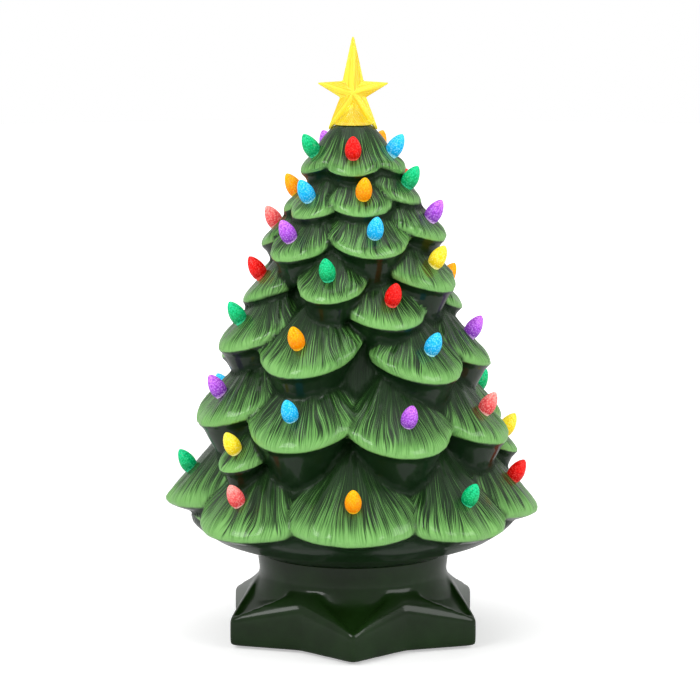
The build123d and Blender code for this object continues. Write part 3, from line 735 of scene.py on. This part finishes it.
bulb_outline = [
    (0, -STEM_LENGTH), (STEM, -STEM_LENGTH), (STEM, -COLLAR_SINK), (COLLAR, -COLLAR_SINK), (COLLAR + 0.2, 1)]
bulb_outline += [(point.x, point.z) for point in flank]


def bulb_mesh(matrix):
    """One bulb in its place, with how far up it each corner lies."""
    bm = turned(bulb_outline, BULB_STEPS)
    glow = bm.verts.layers.float.new("glow")
    for vert in bm.verts:
        vert[glow] = vert.co.z / BULB_TIP.z
    bmesh.ops.transform(bm, matrix=matrix, verts=bm.verts)
    mesh = bpy.data.meshes.new("bulb")
    bm.to_mesh(mesh)
    bm.free()
    return mesh


for name, (edge, deep, body, tip) in BULB_COLOURS.items():
    bm = bmesh.new()
    bm.verts.layers.float.new("glow")
    for bough in boughs:
        if bough.colour == name:
            mesh = bulb_mesh(bough.bulb_matrix(0))
            bm.from_mesh(mesh)
            bpy.data.meshes.remove(mesh)
    bulbs = make_piece(f"{name}_bulbs", bm)
    tinted, shader = new_material(f"{name}_bulb_plastic")
    shades = ramp(attribute(shader, "glow", "Fac"), [(0.06, edge), (0.15, deep), (0.5, body), (0.92, tip)])
    pebbles = add_node(shader, "ShaderNodeTexVoronoi", {"Vector": own_space(shader), "Scale": PEBBLES})
    # A painted sparkle of the edge colour on each pebble's top, which also raises the pebble's bump, and
    # painted shade of the deep colour in the gaps between pebbles.
    painted_sparkle = between(pebbles.outputs["Distance"], 0.55, 0.1)
    pebble_gap_shade = between(pebbles.outputs["Distance"], 0.4, 0.9)
    lit = lay(shades, (*deep, 1), calc("MULTIPLY", pebble_gap_shade, 0.7))
    lit = lay(lit, (*edge, 1), calc("MULTIPLY", painted_sparkle, 0.38))
    # The bulbs' glow is painted in: their colour is also their emission.
    feed(shader, {
        "Base Color": lit, "Emission Color": lit, "Emission Strength": BULB_GLOW, "Roughness": 0.2,
        "Specular IOR Level": 0.2})
    bump(shader, painted_sparkle, 0.8, 0.0006)
    dress(bulbs, tinted, f"bulbs_{name}", "tree")

# Star: one moulding of clear yellow plastic, ridged from its middle to its points on both sides, on a boss
# whose peg drops into the hole in the tree's top and brings the lamp's light up. That light's glow in the star
# is painted in as a little emission of its own colour.
STAR_CENTRE = 545
STAR_OUTLINE = [(0, 60), (10.4, 11.7), (36.4, 10), (13, -4.4), (26.6, -40), (0, -13)]
STAR_RIM_DEPTH = 1.5
STAR_MIDDLE_DEPTH = 8.6
POINT_ROUNDING = 8
ARM_ROUNDING = 3
BOSS_OUTLINE = [
    (0, 495.5), (4.2, 495.5), (5, 496.5), (5, 515.05), (15, 515.05), (18, 513.4), (18.8, 514), (17, 516),
    (12.4, 519), (9.6, 521.6), (8, 525), (7, 529), (6, 532), (4, 534), (0, 534.8)]
BOSS_STEPS = 48
STAR_GRAIN = 0.7
STAR_PASSES = 4
STAR_YELLOW = (0.96, 0.82, 0.05, 1)
STAR_GOLD = (0.90, 0.55, 0.008, 1)
STAR_SHADE = (0.66, 0.47, 0.03, 1)
STAR_GLOW = 0.13
outline = STAR_OUTLINE + [(-x, z) for x, z in STAR_OUTLINE[-2:0:-1]]
bm = bmesh.new()
for side in (1, -1):
    ring = bmesh.ops.create_circle(bm, cap_ends=True, segments=len(outline), radius=1)["verts"]
    ring.sort(key=lambda vert: atan2(vert.co.x, vert.co.y) % (2 * pi - 0.01))
    for vert, (x, z) in zip(ring, outline):
        vert.co = (x, -side * STAR_RIM_DEPTH, STAR_CENTRE + z)
    top, right, right_foot, left_foot, left = ring[0::2]
    for tips, rounding in (([top, right_foot, left_foot], POINT_ROUNDING), ([right, left], ARM_ROUNDING)):
        rounded = bmesh.ops.bevel(
            bm, geom=tips, offset=rounding, offset_type="OFFSET", affect="VERTICES", segments=5, profile=0.5,
            material=-1)
    slab = rounded["verts"][0].link_faces[0]
    middle = bmesh.ops.poke(bm, faces=[slab])["verts"][0]
    middle.co = (0, -side * STAR_MIDDLE_DEPTH, STAR_CENTRE)
bmesh.ops.bridge_loops(bm, edges=[edge for edge in bm.edges if edge.is_boundary])
bmesh.ops.recalc_face_normals(bm, faces=bm.faces)
star = make_object("star", bm)
combine(star, [make_object("boss", turned(BOSS_OUTLINE, BOSS_STEPS))], "UNION")
glaze_over(star, STAR_GRAIN, STAR_PASSES)
bm = take_mesh(star)
arms = [Vector((x, z)).normalized() for x, z in outline[0::2]]
rib = bm.loops.layers.float_vector.new("rib")
for face in bm.faces:
    middle = face.calc_center_median()
    flat = Vector((middle.x, middle.z - STAR_CENTRE))
    arm = max(arms, key=lambda direction: direction.dot(flat))
    on_boss = 1 if flat.y < STAR_OUTLINE[-1][1] - 0.9 * abs(flat.x) else 0
    for loop in face.loops:
        spot = Vector((loop.vert.co.x, loop.vert.co.z - STAR_CENTRE))
        loop[rib] = (arm.x * spot.y - arm.y * spot.x, arm.dot(spot), on_boss)
star = make_piece("star", bm)
star_plastic, shader = new_material("clear_yellow_plastic")
grooves = attribute(shader, "rib", "Vector")
flow = streaks(grooves, 2.6, 0.025)
tone = lay(STAR_YELLOW, STAR_GOLD, between(flow, 0.44, 0.70))
tone = lay(tone, STAR_SHADE, calc("MULTIPLY", axis(grooves, "Z"), 0.6))
# The star's glow is painted in as emission of its tone.
feed(shader, {"Base Color": tone, "Emission Color": tone, "Emission Strength": STAR_GLOW, "Roughness": 0.14})
ribs = add_node(shader, "ShaderNodeTexWave", {"Vector": grooves, "Scale": 0.2})
ribs.bands_direction = "X"
bump(shader, ribs.outputs["Fac"], 0.5, 0.0006)
dress(star, star_plastic, "star_topper", "star")

# Plate, battery door, switch and feet: the closing pieces under the base. The plate, the door and the switch's
# body are injection-moulded black plastic with a fine spark-eroded skin, rubbed paler where hands and tables
# touch it; the slider is nylon and the six pads are rubber, stuck under the points.
WEAR_SPOTS = 45
moulded = bpy.data.node_groups.new("moulded_skin", "ShaderNodeTree")
for way, socket, kind in (
        ("INPUT", "Fresh", "Color"), ("INPUT", "Rubbed", "Color"), ("INPUT", "Grain", "Float"),
        ("OUTPUT", "Colour", "Color"), ("OUTPUT", "Roughness", "Float"), ("OUTPUT", "Height", "Float")):
    moulded.interface.new_socket(socket, in_out=way, socket_type=f"NodeSocket{kind}")
given = moulded.nodes.new("NodeGroupInput")
rubbed = between(speckle(given, WEAR_SPOTS, 4), 0.48, 0.72)
add_node(given, "NodeGroupOutput", {
    "Colour": lay(given.outputs["Fresh"], given.outputs["Rubbed"], rubbed),
    "Roughness": calc("SUBTRACT", 0.58, calc("MULTIPLY", rubbed, 0.2)),
    "Height": speckle(given, given.outputs["Grain"])})


def finish_node(name, material):
    """Puts a finish on a piece whose solid is kept as it is."""
    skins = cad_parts[name].data.materials
    skins.clear()
    skins.append(material)


def moulded_plastic(name, fresh, rubbed, grain, depth):
    """A plastic or rubber finish with the moulded skin, its grain in spots to the metre."""
    material, shader = new_material(name)
    skin = add_node(shader, "ShaderNodeGroup", {})
    skin.node_tree = moulded
    feed(skin, {"Fresh": (*fresh, 1), "Rubbed": (*rubbed, 1), "Grain": grain})
    feed(shader, {"Base Color": skin.outputs["Colour"], "Roughness": skin.outputs["Roughness"]})
    bump(shader, skin.outputs["Height"], 0.5, depth)
    return material


black_plastic = moulded_plastic("black_plastic", (0.016, 0.017, 0.018), (0.021, 0.022, 0.023), 1800, 0.0002)
white_nylon = moulded_plastic("white_nylon", (0.62, 0.61, 0.57), (0.44, 0.43, 0.40), 1400, 0.0001)
black_rubber = moulded_plastic("black_rubber", (0.012, 0.012, 0.012), (0.030, 0.029, 0.027), 900, 0.0003)
for name in ("bottom_plate", "battery_door", "switch_body"):
    finish_node(name, black_plastic)
finish_node("switch_slider", white_nylon)
finish_node("feet", black_rubber)

# Batteries, contacts and hinge pin: three round cells with a printed sleeve and bare steel ends, between sprung
# strips of nickel-plated steel, and the drawn steel wire that the door turns on.
CELL_SLEEVE_END = 0.0238
CELL_BAND = 0.0125
PRINT_EDGE = 0.0003
BARE_STEEL = (0.62, 0.61, 0.58, 1)
SLEEVE_DARK = (0.05, 0.16, 0.09, 1)
SLEEVE_LIGHT = (0.055, 0.19, 0.105, 1)
SLEEVE_BAND = (0.55, 0.56, 0.55, 1)


bright_steel, shader = new_material("drawn_steel")
drawn = add_node(shader, "ShaderNodeMapping", {"Vector": own_space(shader), "Scale": (60, 1500, 1500)})
scratches = add_node(shader, "ShaderNodeTexNoise", {"Vector": drawn.outputs["Vector"], "Scale": 1})
feed(shader, {
    "Base Color": BARE_STEEL, "Metallic": 1,
    "Roughness": calc("ADD", calc("MULTIPLY", scratches.outputs["Fac"], 0.3), 0.15)})
finish_node("door_hinge_pin", bright_steel)
finish_node("battery_contacts", bright_steel)

cell_sleeve, shader = new_material("cell_sleeve")
along = calc("ABSOLUTE", axis(own_space(shader), "X"), 0)
bare_end = between(along, CELL_SLEEVE_END, CELL_SLEEVE_END + PRINT_EDGE)
band = between(along, CELL_BAND, CELL_BAND + PRINT_EDGE)
ink = speckle(shader, 400)
print_tone = lay(lay(SLEEVE_DARK, SLEEVE_LIGHT, ink), SLEEVE_BAND, band)
feed(shader, {
    "Base Color": lay(print_tone, BARE_STEEL, bare_end), "Metallic": bare_end,
    "Roughness": calc("ADD", calc("MULTIPLY", ink, 0.12), 0.22)})
finish_node("batteries", cell_sleeve)

# Lamp: a white moulded post in the plate's socket, a printed circuit board that stands in its top with six
# lights on each side, a frosted cover slipped over the post's spigot, and the two leads from the battery box.
RAIL_OFFSET = 0.0045
RAIL_CORE = 0.0005
RAIL_EDGE = 0.0009
LEAD_SPLIT = 0.0001
BOARD_DARK = (0.58, 0.60, 0.56, 1)
BOARD_LIGHT = (0.68, 0.69, 0.66, 1)
BOARD_RAIL = (0.50, 0.50, 0.44, 1)
PHOSPHOR_DARK = (0.90, 0.66, 0.16, 1)
PHOSPHOR_LIGHT = (0.96, 0.78, 0.30, 1)
FROST_DARK = (0.84, 0.82, 0.76, 1)
FROST_LIGHT = (0.92, 0.90, 0.85, 1)
LEAD_BLACK = (0.012, 0.012, 0.012, 1)
LEAD_RED = (0.42, 0.012, 0.010, 1)
finish_node("lamp_post", moulded_plastic("white_plastic", (0.70, 0.70, 0.67), (0.60, 0.59, 0.55), 1500, 0.0001))

board_mask, shader = new_material("board_mask")
from_rail = calc("SUBTRACT", calc("ABSOLUTE", axis(own_space(shader), "X"), 0), RAIL_OFFSET)
rail = between(calc("ABSOLUTE", from_rail, 0), RAIL_EDGE, RAIL_CORE)
mask_tone = lay(BOARD_DARK, BOARD_LIGHT, speckle(shader, 900))
feed(shader, {"Base Color": lay(mask_tone, BOARD_RAIL, rail), "Roughness": 0.35})
bump(shader, rail, 0.4, 0.0001)
finish_node("led_board", board_mask)

phosphor, shader = new_material("warm_phosphor")
warm = lay(PHOSPHOR_DARK, PHOSPHOR_LIGHT, speckle(shader, 1600))
feed(shader, {"Base Color": warm, "Emission Color": warm, "Emission Strength": 0.8, "Roughness": 0.4})
finish_node("leds", phosphor)

frosted, shader = new_material("frosted_plastic")
frost = speckle(shader, 1200)
feed(shader, {
    "Base Color": lay(FROST_DARK, FROST_LIGHT, frost), "Transmission Weight": 0.55, "IOR": 1.49,
    "Roughness": calc("ADD", calc("MULTIPLY", frost, 0.2), 0.42)})
finish_node("lamp_diffuser", frosted)

lead_sleeve, shader = new_material("lead_sleeve")
positive = between(axis(own_space(shader), "X"), -LEAD_SPLIT, LEAD_SPLIT)
feed(shader, {
    "Base Color": lay(LEAD_BLACK, LEAD_RED, positive),
    "Roughness": calc("ADD", calc("MULTIPLY", speckle(shader, 700), 0.2), 0.32)})
finish_node("lead_wires", lead_sleeve)

# Studio: a plain pale floor, a large soft light on each side and one above, and the photograph's viewpoint.
# The floor fades to white away from the tree; it is open under the base, and can be looked through from below.
FLOOR_RADIUS = 8
OPENING_TIP = 0.114
OPENING_VALLEY = 0.080
FADE_START = 0.5
FADE_END = 2.2
SOFT_LIGHT = 0.42
GLOSSY_LIGHT = 0.65
AIM = Vector((0, 0, 0.3))
LIGHTS = {
    "key": (Vector((-1.6, -1.6, 1.7)), 1.3, 36),
    "fill": (Vector((1.8, -1.2, 1.2)), 1.3, 22),
    "top": (Vector((0, 0.3, 2.2)), 1.8, 13),
}
CAMERA_PLACE = (-0.003, -2.8, 0.701)
CAMERA_PITCH = 8.38
CAMERA_LENS = 145.6
SENSOR_WIDTH = 36
bm = bmesh.new()
bmesh.ops.create_circle(bm, segments=2 * STAR_POINTS, radius=FLOOR_RADIUS)
for vert in bmesh.ops.create_circle(bm, segments=2 * STAR_POINTS, radius=1)["verts"]:
    vert.co *= star_radius(vert, OPENING_TIP, OPENING_VALLEY)
bmesh.ops.bridge_loops(bm, edges=bm.edges)
for face in bm.faces:
    if face.normal.z < 0:
        face.normal_flip()
floor = make_object("floor", bm)
pale_floor, shader = new_material("pale_floor")
ray = add_node(shader, "ShaderNodeLightPath", {})
away = add_node(shader, "ShaderNodeVectorMath", {})
away.operation = "LENGTH"
feed(away, {0: own_space(shader)})
fade = calc("ADD", calc("MULTIPLY", between(away.outputs["Value"], FADE_START, FADE_END), 0.6), 0.45)
feed(shader, {
    "Base Color": (0.86, 0.86, 0.86, 1), "Roughness": 0.7, "Specular IOR Level": 0.1,
    "Emission Color": (1, 1, 1, 1), "Emission Strength": calc("MULTIPLY", ray.outputs["Is Camera Ray"], fade)})
geometry = add_node(shader, "ShaderNodeNewGeometry", {})
clear = add_node(shader, "ShaderNodeBsdfTransparent", {})
sided = add_node(shader, "ShaderNodeMixShader", {
    0: geometry.outputs["Backfacing"], 1: shader.outputs["BSDF"], 2: clear.outputs["BSDF"]})
feed(pale_floor.node_tree.nodes["Material Output"], {"Surface": sided.outputs["Shader"]})
floor.data.materials.append(pale_floor)

world = bpy.data.worlds.new("studio")
bpy.context.scene.world = world
world.use_nodes = True
background = world.node_tree.nodes["Background"]
ray = add_node(background, "ShaderNodeLightPath", {})
seen = calc("MAXIMUM", ray.outputs["Is Camera Ray"], ray.outputs["Is Transmission Ray"])
mirrored = calc("MULTIPLY", ray.outputs["Is Glossy Ray"], GLOSSY_LIGHT)
feed(background, {
    "Color": (1, 1, 1, 1), "Strength": calc("MAXIMUM", calc("MAXIMUM", seen, mirrored), SOFT_LIGHT)})
for name, (place, size, power) in LIGHTS.items():
    lamp = bpy.data.lights.new(name, "AREA")
    lamp.size = size
    lamp.energy = power
    light = bpy.data.objects.new(name, lamp)
    light.location = place
    light.rotation_euler = (AIM - place).to_track_quat("-Z", "Y").to_euler()
    bpy.context.scene.collection.objects.link(light)

view = bpy.data.cameras.new("camera")
view.lens = CAMERA_LENS
view.sensor_width = SENSOR_WIDTH
camera = bpy.data.objects.new("camera", view)
camera.location = CAMERA_PLACE
camera.rotation_euler = (radians(90 - CAMERA_PITCH), 0, 0)
bpy.context.scene.collection.objects.link(camera)
bpy.context.scene.camera = camera
bpy.context.scene.view_settings.view_transform = "Standard"
